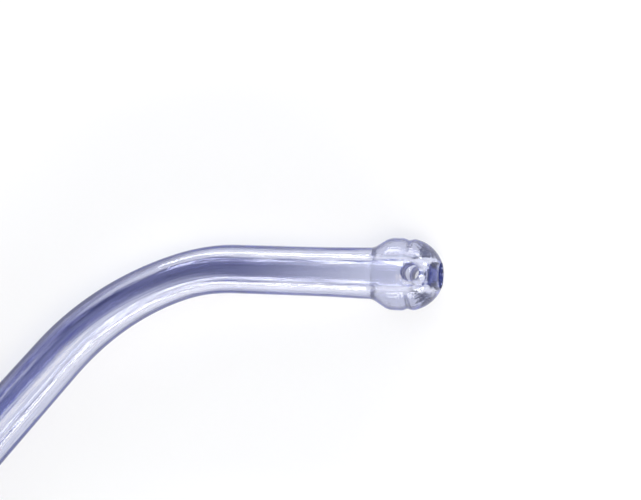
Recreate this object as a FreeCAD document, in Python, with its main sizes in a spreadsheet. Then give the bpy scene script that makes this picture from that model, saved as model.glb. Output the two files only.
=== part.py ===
import FreeCAD, Part
import math
import os
import Sketcher

Vector = FreeCAD.Vector
ORIGIN = -1                       # geometry number of a sketch's own origin
START, END, CENTRE = 1, 2, 3      # the points of a line, an arc or a circle
UP = Vector(0, 0, 1)
EDGE_MATCH = 1e-3                 # how close an edge lies to the place it is looked for

doc = FreeCAD.newDocument("suction_tip")
sheet = doc.addObject("Spreadsheet::Sheet", "sizes")

# Driving sizes, in millimetres and degrees. Lengths run along the tube, from the
# connector to the bulb. The bulb and the bend were read from the photograph.
DRIVING_SIZES = (
    ("nozzle_dia", 8.0, "tubing connector, first step"),
    ("nozzle_length", 12.0, "tubing connector, first step"),
    ("nozzle_lead", 0.6, "lead-in chamfer at the end of the connector"),
    ("step_dia", 9.8, "tubing connector, second step"),
    ("step_length", 11.0, "tubing connector, second step"),
    ("step_lead", 0.5, "lead-in chamfer of the second step"),
    ("rear_cone_length", 4.0, "cone from the second step up to the grip"),
    ("grip_dia", 14.0, "over the crests of the grip"),
    ("grip_length", 76.0, "straight grip"),
    ("grip_round", 2.5, "round at both ends of the grip"),
    ("front_cone_length", 10.0, "cone from the grip down to the shaft"),
    ("groove_first", 8.0, "from the rear of the grip to its first finger groove"),
    ("groove_pitch", 10.0, "spacing of the finger grooves"),
    ("groove_count", 7, "finger grooves"),
    ("groove_depth", 0.7, "finger groove"),
    ("groove_round", 8.0, "radius of the hollow of a finger groove"),
    ("shaft_root_dia", 12.0, "shaft where it leaves the grip"),
    ("shaft_length", 88.0, "straight tapered shaft"),
    ("shaft_end_dia", 8.9, "shaft where the bend starts"),
    ("wide_radius", 49.0, "gentle stretch of the bend, centre line"),
    ("wide_angle", 30.0, "gentle stretch of the bend"),
    ("waist_dia", 7.9, "where the two stretches of the bend meet"),
    ("tight_radius", 29.4, "tight stretch of the bend, centre line"),
    ("tight_angle", 20.0, "tight stretch of the bend"),
    ("tip_dia", 8.2, "straight tip"),
    ("tip_length", 29.5, "from the bend to the centre of the bulb"),
    ("neck_dia", 8.6, "where the tip meets the flare of the bulb"),
    ("neck_taper_length", 9.0, "stretch over which the tip widens to the neck"),
    ("neck_round", 0.5, "hollow round between tip and flare"),
    ("flare_length", 2.7, "cone from the neck to the shoulder of the bulb"),
    ("shoulder_round", 1.0, "round between flare and land"),
    ("land_length", 3.1, "straight land behind the centre of the bulb"),
    ("bulb_dia", 12.0, "ball end"),
    ("ring_ahead", 0.15, "ring groove, ahead of the centre of the bulb"),
    ("ring_depth", 0.3, "ring groove"),
    ("ring_round", 2.2, "radius of the hollow of the ring groove"),
    ("eye_dia", 2.9, "suction eye in the side of the bulb"),
    ("eye_ahead", 1.45, "eyes, ahead of the centre of the bulb"),
    ("eye_chamfer", 0.25, "rim of an eye"),
    ("rear_bore_dia", 5.6, "bore of the connector and the grip"),
    ("rear_bore_lead", 0.4, "chamfer of the bore at the end of the connector"),
    ("lumen_dia", 4.2, "bore of the shaft, the bend and the tip, out to the mouth"),
    ("mouth_chamfer", 0.3, "lip of the mouth"),
)

for row, (alias, size, note) in enumerate(DRIVING_SIZES, start=1):
    sheet.set("A%d" % row, alias)
    sheet.set("B%d" % row, str(size))
    sheet.set("C%d" % row, note)
    sheet.setAlias("B%d" % row, alias)
doc.recompute()

# Stations along the straight axis and round the bend, as expressions of the sizes.
nozzle_end = "sizes.nozzle_length"
step_end = nozzle_end + " + sizes.step_length"
grip_start = step_end + " + sizes.rear_cone_length"
grip_end = grip_start + " + sizes.grip_length"
shaft_start = grip_end + " + sizes.front_cone_length"
shaft_end = shaft_start + " + sizes.shaft_length"
tip_angle = "(sizes.wide_angle + sizes.tight_angle)"
waist_x = shaft_end + " + sizes.wide_radius * sin(sizes.wide_angle)"
waist_y = "-sizes.wide_radius * (1 - cos(sizes.wide_angle))"
tight_centre_x = waist_x + " - sizes.tight_radius * sin(sizes.wide_angle)"
tight_centre_y = waist_y + " - sizes.tight_radius * cos(sizes.wide_angle)"
tip_x = tight_centre_x + " + sizes.tight_radius * sin" + tip_angle
tip_y = tight_centre_y + " + sizes.tight_radius * cos" + tip_angle
bulb_x = tip_x + " + sizes.tip_length * cos" + tip_angle
bulb_y = tip_y + " - sizes.tip_length * sin" + tip_angle

body = doc.addObject("PartDesign::Body", "suction_tip")
body.Label = "suction_tip"
planes = {plane.Role: plane for plane in body.Origin.OriginFeatures}


def value(expression):
    """The number that an expression of the sheet's sizes gives."""
    result = body.evalExpression(expression)
    return float(getattr(result, "Value", result))


def new_sketch(name, plane, x="0", y="0", z="0", turn_axis=None, turn="0"):
    """Sketch on one of the body's planes, shifted and turned by expressions."""
    sketch = body.newObject("Sketcher::SketchObject", name)
    sketch.AttachmentSupport = [(planes[plane], "")]
    sketch.MapMode = "FlatFace"
    if turn_axis is not None:
        turned = FreeCAD.Rotation(turn_axis, value(turn))
        sketch.AttachmentOffset = FreeCAD.Placement(Vector(), turned)
        sketch.setExpression("AttachmentOffset.Rotation.Angle", turn)
    for letter, shift in zip("xyz", (x, y, z)):
        sketch.setExpression("AttachmentOffset.Base." + letter, shift)
    return sketch


def tip_sketch(name):
    """Sketch in the plane of the bend, with its X axis along the straight tip."""
    return new_sketch(name, "XY_Plane", tip_x, tip_y, turn_axis=UP, turn="-" + tip_angle)


def section_sketch(name, x, y, angle, diameter):
    """Circle square to the centre line at x, y, where it has turned by this angle."""
    sketch = new_sketch(name, "YZ_Plane", x=y, z=x, turn_axis=Vector(0, 1, 0), turn="-" + angle)
    draw_circle(sketch, "0", "0", diameter + " / 2")
    return sketch


def hold_point(sketch, geometry, point, x, y):
    """Hold one point of a sketch at x, y, both expressions."""
    for kind, distance in (("DistanceX", x), ("DistanceY", y)):
        held = Sketcher.Constraint(kind, ORIGIN, START, geometry, point, value(distance))
        sketch.setExpression("Constraints[%d]" % sketch.addConstraint(held), distance)


def draw_outline(sketch, corners):
    """Closed outline of straight lines through corners given as expressions."""
    points = [Vector(value(x), value(y), 0) for x, y in corners]
    sketch.addGeometry([Part.LineSegment(a, b) for a, b in zip(points, points[1:] + points[:1])])
    for number, (x, y) in enumerate(corners):
        before = (number - 1) % len(corners)
        sketch.addConstraint(Sketcher.Constraint("Coincident", before, END, number, START))
        hold_point(sketch, number, START, x, y)


def draw_circle(sketch, x, y, radius):
    """Circle held by its centre and radius, all expressions."""
    centre = Vector(value(x), value(y), 0)
    circle = sketch.addGeometry(Part.Circle(centre, UP, value(radius)))
    hold_point(sketch, circle, CENTRE, x, y)
    held = Sketcher.Constraint("Radius", circle, value(radius))
    sketch.setExpression("Constraints[%d]" % sketch.addConstraint(held), radius)


def draw_quarter(sketch, x, radius):
    """Quarter disc on the X axis, centred at x: the section of half a ball."""
    at, reach = value(x), value(radius)
    centre, top, front = Vector(at, 0, 0), Vector(at, reach, 0), Vector(at + reach, 0, 0)
    full = Part.Circle(centre, UP, reach)
    sketch.addGeometry([
        Part.ArcOfCircle(full, 0, math.pi / 2),
        Part.LineSegment(top, centre),
        Part.LineSegment(centre, front),
    ])
    arc, upright, base = range(3)
    sketch.addConstraint(Sketcher.Constraint("Coincident", arc, END, upright, START))
    sketch.addConstraint(Sketcher.Constraint("Coincident", upright, END, base, START))
    sketch.addConstraint(Sketcher.Constraint("Coincident", base, END, arc, START))
    sketch.addConstraint(Sketcher.Constraint("Coincident", arc, CENTRE, base, START))
    sketch.addConstraint(Sketcher.Constraint("Vertical", upright))
    sketch.addConstraint(Sketcher.Constraint("Horizontal", base))
    hold_point(sketch, base, START, x, "0")
    held = Sketcher.Constraint("Radius", arc, reach)
    sketch.setExpression("Constraints[%d]" % sketch.addConstraint(held), radius)


def revolve(kind, name, sketch):
    """Full turn of a sketch about its own X axis: Revolution adds, Groove cuts."""
    feature = body.newObject("PartDesign::" + kind, name)
    feature.Profile = sketch
    feature.ReferenceAxis = (sketch, ["H_Axis"])
    feature.Angle = 360.0
    doc.recompute()
    return feature


def sweep(kind, name, spine, section, later_sections=()):
    """Sweep a section along the bend, through the later sections if there are any."""
    feature = body.newObject("PartDesign::" + kind, name)
    feature.Profile = section
    feature.Spine = (spine, ["Edge1", "Edge2"])
    if later_sections:
        feature.Transformation = "Multisection"
        feature.Sections = [(later, [""]) for later in later_sections]
    doc.recompute()
    return feature


def ease_edges(kind, name, size, is_wanted):
    """Fillet or Chamfer each edge of the body so far that is_wanted accepts."""
    names = [
        "Edge%d" % number
        for number, edge in enumerate(body.Shape.Edges, start=1)
        if not edge.Degenerated and is_wanted(edge)
    ]
    base = body.Tip
    feature = body.newObject("PartDesign::" + kind, name)
    feature.Base = (base, names)
    feature.setExpression("Radius" if kind == "Fillet" else "Size", size)
    doc.recompute()
    return feature


def ring_finder(centre, axis, diameters):
    """Test for a circle about the axis at the centre, with one of the diameters."""
    radii = [value(diameter) / 2 for diameter in diameters]

    def is_ring(edge):
        curve = edge.Curve
        if not isinstance(curve, Part.Circle):
            return False
        placed = (curve.Center - centre).Length < EDGE_MATCH
        sized = any(abs(curve.Radius - radius) < EDGE_MATCH for radius in radii)
        return placed and sized and abs(abs(curve.Axis * axis) - 1) < EDGE_MATCH

    return is_ring


# The straight length, turned about the X axis: connector, grip and tapered shaft.
straight_outline = new_sketch("straight_outline", "XY_Plane")
draw_outline(straight_outline, (
    ("0", "0"),
    ("0", "sizes.nozzle_dia / 2 - sizes.nozzle_lead"),
    ("sizes.nozzle_lead", "sizes.nozzle_dia / 2"),
    (nozzle_end, "sizes.nozzle_dia / 2"),
    (nozzle_end, "sizes.step_dia / 2 - sizes.step_lead"),
    (nozzle_end + " + sizes.step_lead", "sizes.step_dia / 2"),
    (step_end, "sizes.step_dia / 2"),
    (grip_start, "sizes.grip_dia / 2"),
    (grip_end, "sizes.grip_dia / 2"),
    (shaft_start, "sizes.shaft_root_dia / 2"),
    (shaft_end, "sizes.shaft_end_dia / 2"),
    (shaft_end, "0"),
))
revolve("Revolution", "straight_length", straight_outline)

# The bend: two tangent arcs for a centre line, and a section at each end and the waist.
bend_line = new_sketch("bend_line", "XY_Plane")
wide_centre_y = "-sizes.wide_radius"
right_angle = math.pi / 2
wide_turn = math.radians(value("sizes.wide_angle"))
tip_turn = math.radians(value(tip_angle))
wide_circle = Part.Circle(Vector(value(shaft_end), value(wide_centre_y), 0), UP, value("sizes.wide_radius"))
tight_centre = Vector(value(tight_centre_x), value(tight_centre_y), 0)
tight_circle = Part.Circle(tight_centre, UP, value("sizes.tight_radius"))
bend_line.addGeometry([
    Part.ArcOfCircle(wide_circle, right_angle - wide_turn, right_angle),
    Part.ArcOfCircle(tight_circle, right_angle - tip_turn, right_angle - wide_turn),
])
wide_arc, tight_arc = range(2)
hold_point(bend_line, wide_arc, CENTRE, shaft_end, wide_centre_y)
hold_point(bend_line, tight_arc, CENTRE, tight_centre_x, tight_centre_y)
bend_line.addConstraint(Sketcher.Constraint("Coincident", wide_arc, START, tight_arc, END))
hold_point(bend_line, wide_arc, START, waist_x, waist_y)
for arc, point, x in ((wide_arc, END, shaft_end), (tight_arc, START, tip_x)):
    held = Sketcher.Constraint("DistanceX", ORIGIN, START, arc, point, value(x))
    bend_line.setExpression("Constraints[%d]" % bend_line.addConstraint(held), x)
stations = ((shaft_end, "0", "0"), (waist_x, waist_y, "sizes.wide_angle"), (tip_x, tip_y, tip_angle))
walls = ("sizes.shaft_end_dia", "sizes.waist_dia", "sizes.tip_dia")
wall_sections = [
    section_sketch("wall_section_%d" % number, x, y, angle, diameter)
    for number, ((x, y, angle), diameter) in enumerate(zip(stations, walls), start=1)
]
sweep("AdditivePipe", "bend", bend_line, wall_sections[0], wall_sections[1:])

# The tip, turned about its own axis: slim tube, flare and land, then half a ball.
neck = "sizes.tip_length - sizes.land_length - sizes.flare_length"
land = "sizes.tip_length - sizes.land_length"
bulb_radius = "sizes.bulb_dia / 2"
tip_outline = tip_sketch("tip_outline")
draw_outline(tip_outline, (
    ("0", "0"),
    ("0", "sizes.tip_dia / 2"),
    (neck + " - sizes.neck_taper_length", "sizes.tip_dia / 2"),
    (neck, "sizes.neck_dia / 2"),
    (land, bulb_radius),
    ("sizes.tip_length", bulb_radius),
    ("sizes.tip_length", "0"),
))
revolve("Revolution", "tip_tube", tip_outline)
ball_outline = tip_sketch("ball_outline")
draw_quarter(ball_outline, "sizes.tip_length", bulb_radius)
revolve("Revolution", "ball_end", ball_outline)

# Rounds on the outside, each found by its place and size.
handle_axis = Vector(1, 0, 0)


def straight_rings(x, *diameters):
    return ring_finder(Vector(value(x), 0, 0), handle_axis, diameters)


at_grip = [straight_rings(x, "sizes.grip_dia") for x in (grip_start, grip_end)]
tip_axis = Vector(math.cos(tip_turn), -math.sin(tip_turn), 0)
tip_root = Vector(value(tip_x), value(tip_y), 0)
bulb_centre = Vector(value(bulb_x), value(bulb_y), 0)
at_neck = ring_finder(tip_root + tip_axis * value(neck), tip_axis, ["sizes.neck_dia"])
at_shoulder = ring_finder(tip_root + tip_axis * value(land), tip_axis, ["sizes.bulb_dia"])
ease_edges("Fillet", "grip_ends", "sizes.grip_round", lambda edge: any(found(edge) for found in at_grip))
ease_edges("Fillet", "neck_hollow", "sizes.neck_round", at_neck)
ease_edges("Fillet", "shoulder", "sizes.shoulder_round", at_shoulder)

# Finger grooves: one hollow ring cut at the rear of the grip and repeated forwards.
groove_sketch = new_sketch("groove_section", "XY_Plane")
groove_height = "sizes.grip_dia / 2 + sizes.groove_round - sizes.groove_depth"
draw_circle(groove_sketch, grip_start + " + sizes.groove_first", groove_height, "sizes.groove_round")
finger_groove = revolve("Groove", "finger_groove", groove_sketch)
finger_grooves = body.newObject("PartDesign::LinearPattern", "finger_grooves")
finger_grooves.Originals = [finger_groove]
finger_grooves.Direction = (groove_sketch, ["H_Axis"])
finger_grooves.Mode = "Spacing"
finger_grooves.setExpression("Offset", "sizes.groove_pitch")
finger_grooves.setExpression("Occurrences", "sizes.groove_count")
body.Tip = finger_grooves
doc.recompute()

# The bore: wide through the connector and the grip, then slim out to the mouth's lip.
straight_core = new_sketch("straight_core", "XY_Plane")
draw_outline(straight_core, (
    ("0", "0"),
    ("0", "sizes.rear_bore_dia / 2 + sizes.rear_bore_lead"),
    ("sizes.rear_bore_lead", "sizes.rear_bore_dia / 2"),
    (grip_end, "sizes.rear_bore_dia / 2"),
    (shaft_start, "sizes.lumen_dia / 2"),
    (shaft_end, "sizes.lumen_dia / 2"),
    (shaft_end, "0"),
))
revolve("Groove", "straight_bore", straight_core)
bore_section = section_sketch("bore_section", *stations[0], "sizes.lumen_dia")
sweep("SubtractivePipe", "bend_bore", bend_line, bore_section)
lip_radius = "(sizes.lumen_dia / 2 + sizes.mouth_chamfer)"
lip_reach = "sqrt((%s)^2 - %s^2)" % (bulb_radius, lip_radius)
tip_core = tip_sketch("tip_core")
draw_outline(tip_core, (
    ("0", "0"),
    ("0", "sizes.lumen_dia / 2"),
    ("sizes.tip_length - sizes.mouth_chamfer + " + lip_reach, "sizes.lumen_dia / 2"),
    ("sizes.tip_length + " + bulb_radius, lip_radius + " + " + bulb_radius + " - " + lip_reach),
    ("sizes.tip_length + " + bulb_radius, "0"),
))
revolve("Groove", "tip_bore", tip_core)

# The suction eyes: one hole right across the bulb, which opens on both of its sides.
eye_sketch = tip_sketch("eye_circle")
draw_circle(eye_sketch, "sizes.tip_length + sizes.eye_ahead", "0", "sizes.eye_dia / 2")
eyes = body.newObject("PartDesign::Pocket", "eyes")
eyes.Profile = eye_sketch
eyes.SideType = "Symmetric"
eyes.setExpression("Length", "sizes.bulb_dia")
doc.recompute()


def is_eye_rim(edge):
    """An edge on the outside of the bulb that is not a ring about the tip's axis."""
    if isinstance(edge.Curve, (Part.Circle, Part.Line)):
        return False
    start, end = edge.ParameterRange
    from_bulb = edge.valueAt((start + end) / 2) - bulb_centre
    forward = from_bulb * tip_axis
    from_axis = (from_bulb - tip_axis * forward).Length
    reach = value(bulb_radius)
    return abs(forward) < reach and reach / 2 < from_axis < reach + EDGE_MATCH


ease_edges("Chamfer", "eye_rims", "sizes.eye_chamfer", is_eye_rim)

# The ring groove round the bulb, a shallow hollow between its land and its ball.
ring_sketch = tip_sketch("ring_section")
ring_height = bulb_radius + " + sizes.ring_round - sizes.ring_depth"
draw_circle(ring_sketch, "sizes.tip_length + sizes.ring_ahead", ring_height, "sizes.ring_round")
revolve("Groove", "ring_groove", ring_sketch)

# At rest the tip lies on the crests of its grip and on its bulb, curving towards -Y.
# The grip's axis is its own radius above the floor, and the part is rolled about it
# until the slimmer bulb touches too. The origin is under the middle of the part.
sink = value("(sizes.grip_dia - sizes.bulb_dia) / 2")
roll = math.asin(sink / -value(bulb_y))
reach_y = -value(bulb_y) * math.cos(roll) + value(bulb_radius)
grip_radius = value("sizes.grip_dia / 2")
overall_length = value(bulb_x) + value(bulb_radius)
body.Placement = FreeCAD.Placement(
    Vector(-overall_length / 2, (reach_y - grip_radius) / 2, grip_radius),
    FreeCAD.Rotation(handle_axis, math.degrees(roll)),
)
doc.recompute()

for item in doc.Objects:
    if "Invalid" in item.State or "Error" in item.State:
        raise RuntimeError("%s did not compute: %s" % (item.Name, item.State))
if body.Shape.isNull() or not body.Shape.isValid() or len(body.Shape.Solids) != 1:
    raise RuntimeError("the body is not one sound solid")

os.makedirs("parts", exist_ok=True)
body.Shape.exportStep("parts/%s.step" % body.Label)
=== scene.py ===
import bmesh
import bpy
import math
from mathutils import Matrix, Vector
from mathutils.geometry import interpolate_bezier


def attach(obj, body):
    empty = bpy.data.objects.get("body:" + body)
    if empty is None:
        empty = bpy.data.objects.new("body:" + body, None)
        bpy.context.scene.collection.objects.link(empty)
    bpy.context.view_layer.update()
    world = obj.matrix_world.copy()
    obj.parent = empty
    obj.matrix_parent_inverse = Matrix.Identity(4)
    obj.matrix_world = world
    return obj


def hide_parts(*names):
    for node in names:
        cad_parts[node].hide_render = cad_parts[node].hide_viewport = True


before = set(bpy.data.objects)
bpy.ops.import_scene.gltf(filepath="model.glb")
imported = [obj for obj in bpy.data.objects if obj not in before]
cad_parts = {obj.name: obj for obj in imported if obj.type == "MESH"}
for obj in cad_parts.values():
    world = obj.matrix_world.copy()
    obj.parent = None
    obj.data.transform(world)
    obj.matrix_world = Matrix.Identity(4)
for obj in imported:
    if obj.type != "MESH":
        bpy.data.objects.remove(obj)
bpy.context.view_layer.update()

# The suction tip: one moulding in clear styrene plastic with a thick wall, warmed and
# bent near its tip. It is drawn straight here, in millimetres from the open end of the
# connector, then laid along its bend and put down where the solid lies.
nozzle_radius, nozzle_length, nozzle_lead = 4.0, 12.0, 0.6
step_radius, step_length, step_lead = 4.9, 11.0, 0.5
rear_cone_length = 4.0
grip_radius, grip_length, grip_round = 7.0, 76.0, 2.0
front_cone_length = 10.0
groove_first, groove_pitch, groove_count = 8.0, 10.0, 7
groove_depth, groove_hollow = 0.7, 8.0
shaft_root_radius, shaft_length, shaft_end_radius = 6.0, 88.0, 4.45
wide_bend, wide_turn = 49.0, math.radians(30)
tight_bend, tight_turn = 29.4, math.radians(20)
waist_radius, tip_radius = 3.95, 4.1
tip_length = 29.5
neck_radius, neck_taper = 4.3, 9.0
flare_length, land_length = 2.7, 3.1
bulb_radius = 6.0
ring_ahead, ring_half_width, ring_depth = 0.15, 1.1, 0.3
eye_radius, eye_ahead = 1.45, 1.45
rear_bore, rear_bore_lead = 2.8, 0.4
lumen, mouth_lip = 2.1, 0.4
soft_corner = 0.2                 # what the mould leaves of a sharp corner
cone_corner, neck_corner = 0.6, 0.6
groove_corner, land_corner = 0.5, 0.8
long_corner = 1.5                 # where a long slope begins or ends
facets_around = 128
same_point = 1e-4

step_start = nozzle_length
rear_cone_start = step_start + step_length
grip_start = rear_cone_start + rear_cone_length
grip_end = grip_start + grip_length
shaft_start = grip_end + front_cone_length
bend_start = shaft_start + shaft_length
waist = bend_start + wide_bend * wide_turn
tip_start = waist + tight_bend * tight_turn
bulb = tip_start + tip_length
land_start = bulb - land_length
neck = land_start - flare_length

outline = bmesh.new()
path = []
rounds = {}


def line_to(along, radius, corner=0.0):
    """Carry the outline on to a point; a corner size marks it for rounding."""
    path.append(outline.verts.new((along, radius, 0)))
    if len(path) > 1:
        outline.edges.new(path[-2:])
    if corner:
        rounds.setdefault(corner, []).append(path[-1])


def arc_about(along, radius, turn, steps):
    """Carry the outline on round a centre, by a turn in radians."""
    swept = bmesh.ops.spin(
        outline, geom=[path[-1]], cent=(along, radius, 0), axis=(0, 0, 1), angle=turn, steps=steps)
    path.extend(item for item in swept["geom_last"] if isinstance(item, bmesh.types.BMVert))


def curve_to(along, radius, slope_before, slope_after, steps):
    """Carry the outline on in a smooth curve, with the slopes that it starts and ends with."""
    begin = path[-1].co.copy()
    reach = (along - begin.x) / 3
    knots = interpolate_bezier(
        begin, begin + Vector((reach, slope_before * reach, 0)),
        Vector((along - reach, radius - slope_after * reach, 0)), Vector((along, radius, 0)), steps + 1)
    for point in knots[1:]:
        line_to(point.x, point.y)


# Outer wall, from the connector to the mouth.
line_to(0, rear_bore + rear_bore_lead)
line_to(0, nozzle_radius - nozzle_lead, soft_corner)
line_to(nozzle_lead, nozzle_radius, soft_corner)
line_to(step_start, nozzle_radius, soft_corner)
line_to(step_start, step_radius - step_lead, soft_corner)
line_to(step_start + step_lead, step_radius, soft_corner)
line_to(rear_cone_start, step_radius, cone_corner)
line_to(grip_start, grip_radius, grip_round)
half_groove = math.sqrt(groove_hollow ** 2 - (groove_hollow - groove_depth) ** 2)
groove_turn = 2 * math.asin(half_groove / groove_hollow)
for number in range(groove_count):
    middle = grip_start + groove_first + number * groove_pitch
    line_to(middle - half_groove, grip_radius, groove_corner)
    arc_about(middle, grip_radius + groove_hollow - groove_depth, groove_turn, steps=10)
    rounds[groove_corner].append(path[-1])
line_to(grip_end, grip_radius, grip_round)
line_to(shaft_start, shaft_root_radius, long_corner)
shaft_slope = (shaft_end_radius - shaft_root_radius) / shaft_length
line_to(bend_start, shaft_end_radius)
curve_to(waist, waist_radius, shaft_slope, 0, steps=26)
curve_to(tip_start, tip_radius, 0, 0, steps=12)
line_to(neck - neck_taper, tip_radius, long_corner)
line_to(neck, neck_radius, neck_corner)
line_to(land_start, bulb_radius, land_corner)
ring_middle = bulb + ring_ahead
ring_front = ring_ahead + ring_half_width
front_radius = math.sqrt(bulb_radius ** 2 - ring_front ** 2)
line_to(ring_middle - ring_half_width, bulb_radius)
curve_to(ring_middle, bulb_radius - ring_depth, 0, 0, steps=10)
curve_to(bulb + ring_front, front_radius, 0, -ring_front / front_radius, steps=10)
mouth_turn = math.asin(ring_front / bulb_radius) - math.acos(lumen / bulb_radius)
arc_about(bulb, 0, mouth_turn, steps=34)
rounds[mouth_lip] = [path[-1]]

# The bore, back from the mouth to the connector.
line_to(tip_start, lumen)
line_to(bend_start, lumen)
line_to(shaft_start, lumen, long_corner)
line_to(grip_end, rear_bore, long_corner)
line_to(rear_bore_lead, rear_bore, soft_corner)
outline.edges.new((path[-1], path[0]))

# Its corners are rounded and its long edges divided, so that they can bend later, and then
# the outline is turned round the axis.
bmesh.ops.contextual_create(outline, geom=outline.edges[:])
for size, corners in rounds.items():
    bmesh.ops.bevel(
        outline, geom=corners, offset=size, affect="VERTICES", segments=5, profile=0.5, material=-1)
bmesh.ops.delete(outline, geom=outline.faces[:], context="FACES_ONLY")
point_spacing = 1.5
for edge in outline.edges[:]:
    cuts = int(edge.calc_length() / point_spacing)
    if cuts:
        bmesh.ops.subdivide_edges(outline, edges=[edge], cuts=cuts)
bmesh.ops.spin(
    outline, geom=outline.verts[:] + outline.edges[:], cent=(0, 0, 0), axis=(1, 0, 0),
    angle=2 * math.pi, steps=facets_around, use_merge=True)
bmesh.ops.remove_doubles(outline, verts=outline.verts, dist=same_point)
bmesh.ops.recalc_face_normals(outline, faces=outline.faces)


def new_piece(name, shape):
    """Object at the origin that holds a finished shape."""
    mesh = bpy.data.meshes.new(name)
    shape.to_mesh(mesh)
    shape.free()
    piece = bpy.data.objects.new(name, mesh)
    bpy.context.scene.collection.objects.link(piece)
    return piece


suction_tip = new_piece("suction_tip_clear", outline)

# The two eyes are one hole right across the bulb, cut from either side to its middle, with
# sharp rims.
drill_length = 1.2 * bulb_radius
drills = []
for side in range(2):
    drill = bmesh.new()
    bmesh.ops.create_cone(
        drill, cap_ends=True, segments=72, radius1=eye_radius, radius2=eye_radius, depth=drill_length)
    sides = [edge for edge in drill.edges if abs(edge.verts[0].co.z - edge.verts[1].co.z) > bulb_radius]
    bmesh.ops.subdivide_edges(drill, edges=sides, cuts=30)
    bmesh.ops.translate(drill, verts=drill.verts, vec=(bulb + eye_ahead, 0, drill_length / 2))
    bmesh.ops.rotate(
        drill, verts=drill.verts, cent=(0, 0, 0), matrix=Matrix.Rotation(side * math.pi, 3, "X"))
    drills.append(new_piece("drill_%d" % side, drill))
    cut = suction_tip.modifiers.new("eye_%d" % side, "BOOLEAN")
    cut.object = drills[-1]
    cut.operation = "DIFFERENCE"
    cut.solver = "EXACT"
bpy.context.view_layer.update()
drilled = bpy.data.meshes.new_from_object(suction_tip.evaluated_get(bpy.context.evaluated_depsgraph_get()))
suction_tip.modifiers.clear()
for drill in drills:
    bpy.data.objects.remove(drill)

# Laid along the bend: each point keeps its distance from the centre line. The place that
# it had on the straight tube stays with it, for patterns that follow the tube.
full_turn = wide_turn + tight_turn


def centre_line(along):
    """Place on the centre line and how far it has turned there."""
    if along < bend_start:
        return Vector((along, 0, 0)), 0.0
    wide_centre = Vector((bend_start, -wide_bend, 0))
    if along < waist:
        turn = (along - bend_start) / wide_bend
        return wide_centre + wide_bend * Vector((math.sin(turn), math.cos(turn), 0)), turn
    inwards = Vector((math.sin(wide_turn), math.cos(wide_turn), 0))
    tight_centre = wide_centre + (wide_bend - tight_bend) * inwards
    turn = min(wide_turn + (along - waist) / tight_bend, full_turn)
    straight_on = max(along - tip_start, 0)
    arc_point = tight_centre + tight_bend * Vector((math.sin(turn), math.cos(turn), 0))
    return arc_point + straight_on * Vector((math.cos(turn), -math.sin(turn), 0)), turn


bent = bmesh.new()
bent.from_mesh(drilled)
bmesh.ops.remove_doubles(bent, verts=bent.verts, dist=same_point)
straight_place = bent.verts.layers.float_vector.new("straight_place")
for vert in bent.verts:
    vert[straight_place] = vert.co
    centre, turn = centre_line(vert.co.x)
    outwards = Vector((math.sin(turn), math.cos(turn), 0))
    vert.co = centre + vert.co.y * outwards + Vector((0, 0, vert.co.z))

# It lies on its grip and its bulb, so it is rolled about the grip until the bulb is down.
millimetre = 0.001
bulb_centre = centre_line(bulb)[0]
roll = math.asin((grip_radius - bulb_radius) / -bulb_centre.y)
length = bulb_centre.x + bulb_radius
width = grip_radius + bulb_radius - bulb_centre.y * math.cos(roll)
lie = Matrix.Translation((-length / 2, width / 2 - grip_radius, grip_radius)) @ Matrix.Rotation(roll, 4, "X")
bmesh.ops.transform(bent, matrix=Matrix.Scale(millimetre, 4) @ lie, verts=bent.verts)
for face in bent.faces:
    face.smooth = True
bent.to_mesh(drilled)
bent.free()
suction_tip.data = drilled


# Clear styrene-butadiene, injection moulded in a polished mould and bent warm: glass-like,
# faintly blue in depth, with flow lines along the tube, painted shade in streaks, at its edges
# and in its holes, a low parting ridge and the hair scratches of packing and handling.
def linear(hex_colour):
    """sRGB hex colour as linear RGBA."""
    parts = [int(hex_colour[start:start + 2], 16) / 255 for start in (1, 3, 5)]
    return [part / 12.92 if part <= 0.04045 else ((part + 0.055) / 1.055) ** 2.4 for part in parts] + [1.0]


def add_node(tree, kind, settings=(), inputs=(), links=()):
    """Node of a kind, with its settings, its input values and its links from other sockets."""
    node = tree.nodes.new(kind)
    for name, setting in dict(settings).items():
        setattr(node, name, setting)
    for name, number in dict(inputs).items():
        node.inputs[name].default_value = number
    for name, socket in dict(links).items():
        tree.links.new(socket, node.inputs[name])
    return node


def new_material(name):
    """Material with an empty node tree and its output."""
    material = bpy.data.materials.new(name)
    material.use_nodes = True
    tree = material.node_tree
    tree.nodes.clear()
    return material, tree, tree.nodes.new("ShaderNodeOutputMaterial")


clear_styrene, tree, output = new_material("clear_styrene_moulded")
times_longer = 50                 # how far flow lines and streaks are drawn out
straight = add_node(tree, "ShaderNodeAttribute", {"attribute_name": "straight_place"})
straight_point = straight.outputs["Vector"]
place = add_node(tree, "ShaderNodeSeparateXYZ", {}, {}, {"Vector": straight_point})
along, outside, above = place.outputs["X"], place.outputs["Y"], place.outputs["Z"]
stretched = add_node(
    tree, "ShaderNodeMapping", {}, {"Scale": (1 / times_longer, 1.0, 1.0)}, {"Vector": straight_point})
drawn_out = stretched.outputs["Vector"]
smooth = {"interpolation_type": "SMOOTHSTEP"}
product = {"operation": "MULTIPLY"}
darken = {"data_type": "RGBA", "blend_type": "MULTIPLY"}

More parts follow.
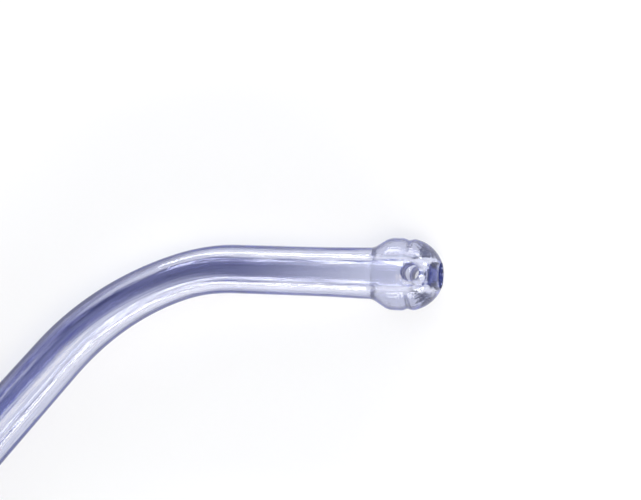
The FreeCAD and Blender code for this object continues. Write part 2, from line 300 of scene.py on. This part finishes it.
# Its skin: slow waves, flow lines drawn out along the tube, and the low ridge that the two
# halves of the mould leave down both sides.
wave_length, lines_per_millimetre, ripple_height = 4.0, 1.1, 0.3
ridge_top, ridge_foot, ridge_height = 0.02, 0.12, 0.03
waves = add_node(
    tree, "ShaderNodeTexNoise", {}, {"Scale": 1 / wave_length, "Detail": 1.0}, {"Vector": straight_point})
waved = add_node(
    tree, "ShaderNodeBump", {}, {"Strength": 0.05, "Distance": ripple_height * millimetre},
    {"Height": waves.outputs["Fac"]})
flow_lines = add_node(
    tree, "ShaderNodeTexNoise", {}, {"Scale": lines_per_millimetre, "Detail": 3.0}, {"Vector": drawn_out})
lined = add_node(
    tree, "ShaderNodeBump", {}, {"Strength": 0.45, "Distance": ripple_height * millimetre},
    {"Height": flow_lines.outputs["Fac"], "Normal": waved.outputs["Normal"]})
from_parting = add_node(tree, "ShaderNodeMath", {"operation": "ABSOLUTE"}, {}, {0: above})
parting_ridge = add_node(
    tree, "ShaderNodeMapRange", smooth,
    {"From Min": ridge_top, "From Max": ridge_foot, "To Min": 1.0, "To Max": 0.0},
    {"Value": from_parting.outputs["Value"]})
skin = add_node(
    tree, "ShaderNodeBump", {}, {"Strength": 0.5, "Distance": ridge_height * millimetre},
    {"Height": parting_ridge.outputs["Result"], "Normal": lined.outputs["Normal"]})

# Its colour: nearly clear where the wall is seen square on, and painted shade where it is seen
# along: dark blue edges that stand in for a dark room seen through them, over a narrower edge on the bulb
# than on the tube.
tube_look_ends, bulb_look_starts = neck - 4, land_start + 1
glance = add_node(tree, "ShaderNodeLayerWeight", {}, {"Blend": 0.5}, {"Normal": skin.outputs["Normal"]})
edges = {}
for part, clear_to, blue_from, edge_shade_blue in (
        ("tube", 0.42, 0.58, "#141E74"), ("bulb", 0.5, 0.7, "#202C90")):
    edges[part] = add_node(tree, "ShaderNodeValToRGB", {}, {}, {"Fac": glance.outputs["Facing"]})
    clear_end, blue_end = edges[part].color_ramp.elements
    clear_end.position, clear_end.color = clear_to, linear("#F8F9FE")
    blue_end.position, blue_end.color = blue_from, linear(edge_shade_blue)
on_bulb = add_node(
    tree, "ShaderNodeMapRange", smooth, {"From Min": tube_look_ends, "From Max": bulb_look_starts},
    {"Value": along})
# Painted shade: the colour turns dark blue at the edges where the wall is seen along.
painted_edge_shade = add_node(
    tree, "ShaderNodeMix", {"data_type": "RGBA"}, {},
    {0: on_bulb.outputs["Result"], 6: edges["tube"].outputs["Color"], 7: edges["bulb"].outputs["Color"]})

# A streaky band of painted shade in deeper blue, standing in for shadow and a dark room seen
# through the wall: faint along the middle of the tip, and strong where it runs back round the outside of the
# bend and down the shaft.
streak_width = 2.0
full_within, gone_beyond = 1.0, 2.6       # millimetres from the band's middle
leaves_middle, reaches_outside, outside_by = tip_start + 12, bend_start - 15, 3.6
streaks = add_node(
    tree, "ShaderNodeTexNoise", {}, {"Scale": 1 / streak_width, "Detail": 4.0}, {"Vector": drawn_out})
streak_shade_depth = add_node(
    tree, "ShaderNodeMapRange", {}, {"From Min": 0.36, "From Max": 0.6, "To Min": 0.6},
    {"Value": streaks.outputs["Fac"]})
behind_tip = add_node(
    tree, "ShaderNodeMapRange", {}, {"From Min": neck, "From Max": tip_start, "To Min": 0.15},
    {"Value": along})
on_shaft = add_node(
    tree, "ShaderNodeMapRange", smooth, {"From Min": waist, "From Max": bend_start, "To Min": 0.78},
    {"Value": along})
band_middle = add_node(
    tree, "ShaderNodeMapRange", smooth,
    {"From Min": leaves_middle, "From Max": reaches_outside, "To Max": outside_by}, {"Value": along})
off_band = add_node(
    tree, "ShaderNodeMath", {"operation": "SUBTRACT"}, {}, {0: outside, 1: band_middle.outputs["Result"]})
band_distance = add_node(
    tree, "ShaderNodeMath", {"operation": "ABSOLUTE"}, {}, {0: off_band.outputs["Value"]})
band = add_node(
    tree, "ShaderNodeMapRange", smooth,
    {"From Min": full_within, "From Max": gone_beyond, "To Min": 1.0, "To Max": 0.0},
    {"Value": band_distance.outputs["Value"]})
streaky_shade_band = add_node(
    tree, "ShaderNodeMath", product, {}, {0: band.outputs["Result"], 1: streak_shade_depth.outputs["Result"]})
shade_deepening = add_node(
    tree, "ShaderNodeMath", product, {}, {0: behind_tip.outputs["Result"], 1: on_shaft.outputs["Result"]})
shade_band_depth = add_node(
    tree, "ShaderNodeMath", product, {}, {0: streaky_shade_band.outputs["Value"], 1: shade_deepening.outputs["Value"]})
# The streaky band of painted shade darkens the colour.
shade_banded = add_node(
    tree, "ShaderNodeMix", darken, {7: linear("#202A88")},
    {0: shade_band_depth.outputs["Value"], 6: painted_edge_shade.outputs[2]})

# The walls of the eyes, and the last of the bore before the mouth, are darkened with painted
# shade, standing in for the shade inside the holes.
eye_wall_out, eye_wall_gone = 0.02, 0.25      # millimetres beyond the hole's own radius
bore_wall_out, bore_wall_gone = 0.05, 0.3
mouth_starts, mouth_full = bulb + 3.0, bulb + 3.4
from_eye = add_node(
    tree, "ShaderNodeVectorMath", {"operation": "SUBTRACT"}, {1: (bulb + eye_ahead, 0, 0)},
    {0: straight_point})
across_eye = add_node(tree, "ShaderNodeVectorMath", product, {1: (1, 1, 0)}, {0: from_eye.outputs["Vector"]})
eye_distance = add_node(
    tree, "ShaderNodeVectorMath", {"operation": "LENGTH"}, {}, {0: across_eye.outputs["Vector"]})
eye_wall = add_node(
    tree, "ShaderNodeMapRange", {},
    {"From Min": eye_radius + eye_wall_out, "From Max": eye_radius + eye_wall_gone,
     "To Min": 1.0, "To Max": 0.0},
    {"Value": eye_distance.outputs["Value"]})
across_bore = add_node(tree, "ShaderNodeVectorMath", product, {1: (0, 1, 1)}, {0: straight_point})
bore_distance = add_node(
    tree, "ShaderNodeVectorMath", {"operation": "LENGTH"}, {}, {0: across_bore.outputs["Vector"]})
bore_wall = add_node(
    tree, "ShaderNodeMapRange", {},
    {"From Min": lumen + bore_wall_out, "From Max": lumen + bore_wall_gone, "To Min": 1.0, "To Max": 0.0},
    {"Value": bore_distance.outputs["Value"]})
near_mouth = add_node(
    tree, "ShaderNodeMapRange", {}, {"From Min": mouth_starts, "From Max": mouth_full}, {"Value": along})
mouth_wall = add_node(
    tree, "ShaderNodeMath", product, {}, {0: bore_wall.outputs["Result"], 1: near_mouth.outputs["Result"]})
painted_hole_shade = add_node(
    tree, "ShaderNodeMath", {"operation": "MAXIMUM"}, {},
    {0: eye_wall.outputs["Result"], 1: mouth_wall.outputs["Value"]})
# The colour with all its painted shade: dark edges, the streaky band and the hole walls.
tint_and_painted_shade = add_node(
    tree, "ShaderNodeMix", darken, {7: linear("#3C448C")},
    {0: painted_hole_shade.outputs["Value"], 6: shade_banded.outputs[2]})
surface = add_node(
    tree, "ShaderNodeBsdfPrincipled", {},
    {"Roughness": 0.0, "IOR": 1.53, "Transmission Weight": 1.0},
    {"Normal": skin.outputs["Normal"], "Base Color": tint_and_painted_shade.outputs[2]})

# Light that the wall carries along leaves it again at hair scratches, as a faint blue glow.
scratch_glow = add_node(tree, "ShaderNodeBsdfTranslucent", {}, {"Color": linear("#C4CAF4")})
scratched = add_node(
    tree, "ShaderNodeMixShader", {}, {"Fac": 0.035},
    {1: surface.outputs["BSDF"], 2: scratch_glow.outputs["BSDF"]})
depth = add_node(tree, "ShaderNodeVolumeAbsorption", {}, {"Color": linear("#96A2E2"), "Density": 28.0})
tree.links.new(scratched.outputs["Shader"], output.inputs["Surface"])
tree.links.new(depth.outputs["Volume"], output.inputs["Volume"])
suction_tip.data.materials.clear()
suction_tip.data.materials.append(clear_styrene)
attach(suction_tip, "root")
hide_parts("suction_tip")

# The table under it: a white board that glows a little by itself, so that the ground is
# near-white and the shadow on it stays pale.
floor_half_width, floor_gap = 3.0, 0.00002
floor_shape = bmesh.new()
bmesh.ops.create_grid(floor_shape, x_segments=1, y_segments=1, size=floor_half_width)
bmesh.ops.translate(floor_shape, verts=floor_shape.verts, vec=(0, 0, -floor_gap))
floor = new_piece("floor", floor_shape)
white_board, tree, output = new_material("white_board")
board = add_node(tree, "ShaderNodeBsdfDiffuse", {}, {"Color": linear("#F9F9F9")})
glow = add_node(tree, "ShaderNodeEmission", {}, {"Color": linear("#FFFFFF"), "Strength": 1.0})
ray = add_node(tree, "ShaderNodeLightPath")
seen = add_node(
    tree, "ShaderNodeMath", {"operation": "MAXIMUM"}, {},
    {0: ray.outputs["Is Camera Ray"], 1: ray.outputs["Is Glossy Ray"]})
seen_or_through = add_node(
    tree, "ShaderNodeMath", {"operation": "MAXIMUM"}, {},
    {0: seen.outputs["Value"], 1: ray.outputs["Is Transmission Ray"]})
glow_share = add_node(tree, "ShaderNodeMath", product, {1: 0.42}, {0: seen_or_through.outputs["Value"]})
glowing_board = add_node(
    tree, "ShaderNodeMixShader", {}, {},
    {"Fac": glow_share.outputs["Value"], 1: board.outputs["BSDF"], 2: glow.outputs["Emission"]})
tree.links.new(glowing_board.outputs["Shader"], output.inputs["Surface"])
floor.data.materials.append(white_board)

# Studio light: a soft warm lamp high up on the tip's side, a long low strip on either side
# of the tip for the thin lines of light along it, and a pale, cool room.
tip_direction = lie.to_3x3() @ Vector((math.cos(full_turn), -math.sin(full_turn), 0))
flat_tip = Vector((tip_direction.x, tip_direction.y, 0)).normalized()
look_at = (lie @ bulb_centre) * millimetre


def add_lamp(name, azimuth, elevation, distance, width, height, power, colour):
    """Soft lamp aimed at the bulb; its azimuth is counted from the tip's direction."""
    away = Matrix.Rotation(math.radians(azimuth), 3, "Z") @ flat_tip
    away = away * math.cos(math.radians(elevation)) + Vector((0, 0, math.sin(math.radians(elevation))))
    light = bpy.data.lights.new(name, "AREA")
    light.shape = "RECTANGLE"
    light.size = width
    light.size_y = height
    light.energy = power
    light.color = linear(colour)[:3]
    lamp = bpy.data.objects.new(name, light)
    bpy.context.scene.collection.objects.link(lamp)
    lamp.location = look_at + away * distance
    lamp.rotation_euler = away.to_track_quat("Z", "Y").to_euler()
    return lamp


key = add_lamp(
    "key", azimuth=-40, elevation=65, distance=2.0, width=0.9, height=0.9, power=12.0, colour="#FFF2C4")
key.visible_transmission = False
for name, azimuth in (("far_strip", 90), ("near_strip", -75)):
    add_lamp(name, azimuth, elevation=14, distance=0.8, width=1.2, height=0.14, power=6.7, colour="#FCFCFF")
world = bpy.data.worlds.new("studio")
bpy.context.scene.world = world
world.use_nodes = True
tree = world.node_tree
room = tree.nodes["Background"]
direction = add_node(tree, "ShaderNodeTexCoord")
height = add_node(tree, "ShaderNodeSeparateXYZ", {}, {}, {"Vector": direction.outputs["Generated"]})
walls = add_node(tree, "ShaderNodeValToRGB", {}, {}, {"Fac": height.outputs["Z"]})
low_wall, ceiling = walls.color_ramp.elements
low_wall.position, low_wall.color = 0.05, linear("#8E98C4")
ceiling.position, ceiling.color = 0.5, linear("#CCD1DE")
tree.links.new(walls.outputs["Color"], room.inputs["Color"])
room.inputs["Strength"].default_value = 1.0

# Camera: looks down on the tip, a little from its mouth and from the near side.
image_width = 641
sensor = 36.0
scale_at_bulb = 6.04              # pixels of the image to a millimetre at the bulb
distance = 450.0
tilt_to_tip, tilt_to_near = math.radians(15), math.radians(6)
image_turn = math.radians(1.54)
bulb_right, bulb_below = 87.5, 24.5     # pixels from the middle of the image
flat_up = Vector((-flat_tip.y, flat_tip.x, 0))
toward = Vector((0, 0, 1)) + math.tan(tilt_to_tip) * flat_tip - math.tan(tilt_to_near) * flat_up
toward.normalize()
right = Matrix.Rotation(image_turn, 3, "Z") @ flat_tip
right = (right - right.dot(toward) * toward).normalized()
up = toward.cross(right)
eye = lie @ bulb_centre + toward * distance
eye += -right * (bulb_right / scale_at_bulb) + up * (bulb_below / scale_at_bulb)
camera_data = bpy.data.cameras.new("camera")
camera_data.lens = scale_at_bulb * distance * sensor / image_width
camera_data.sensor_width = sensor
camera = bpy.data.objects.new("camera", camera_data)
bpy.context.scene.collection.objects.link(camera)
camera.location = eye * millimetre
camera.rotation_euler = Matrix((right, up, toward)).transposed().to_euler()
bpy.context.scene.camera = camera

bpy.context.scene.view_settings.view_transform = "Standard"
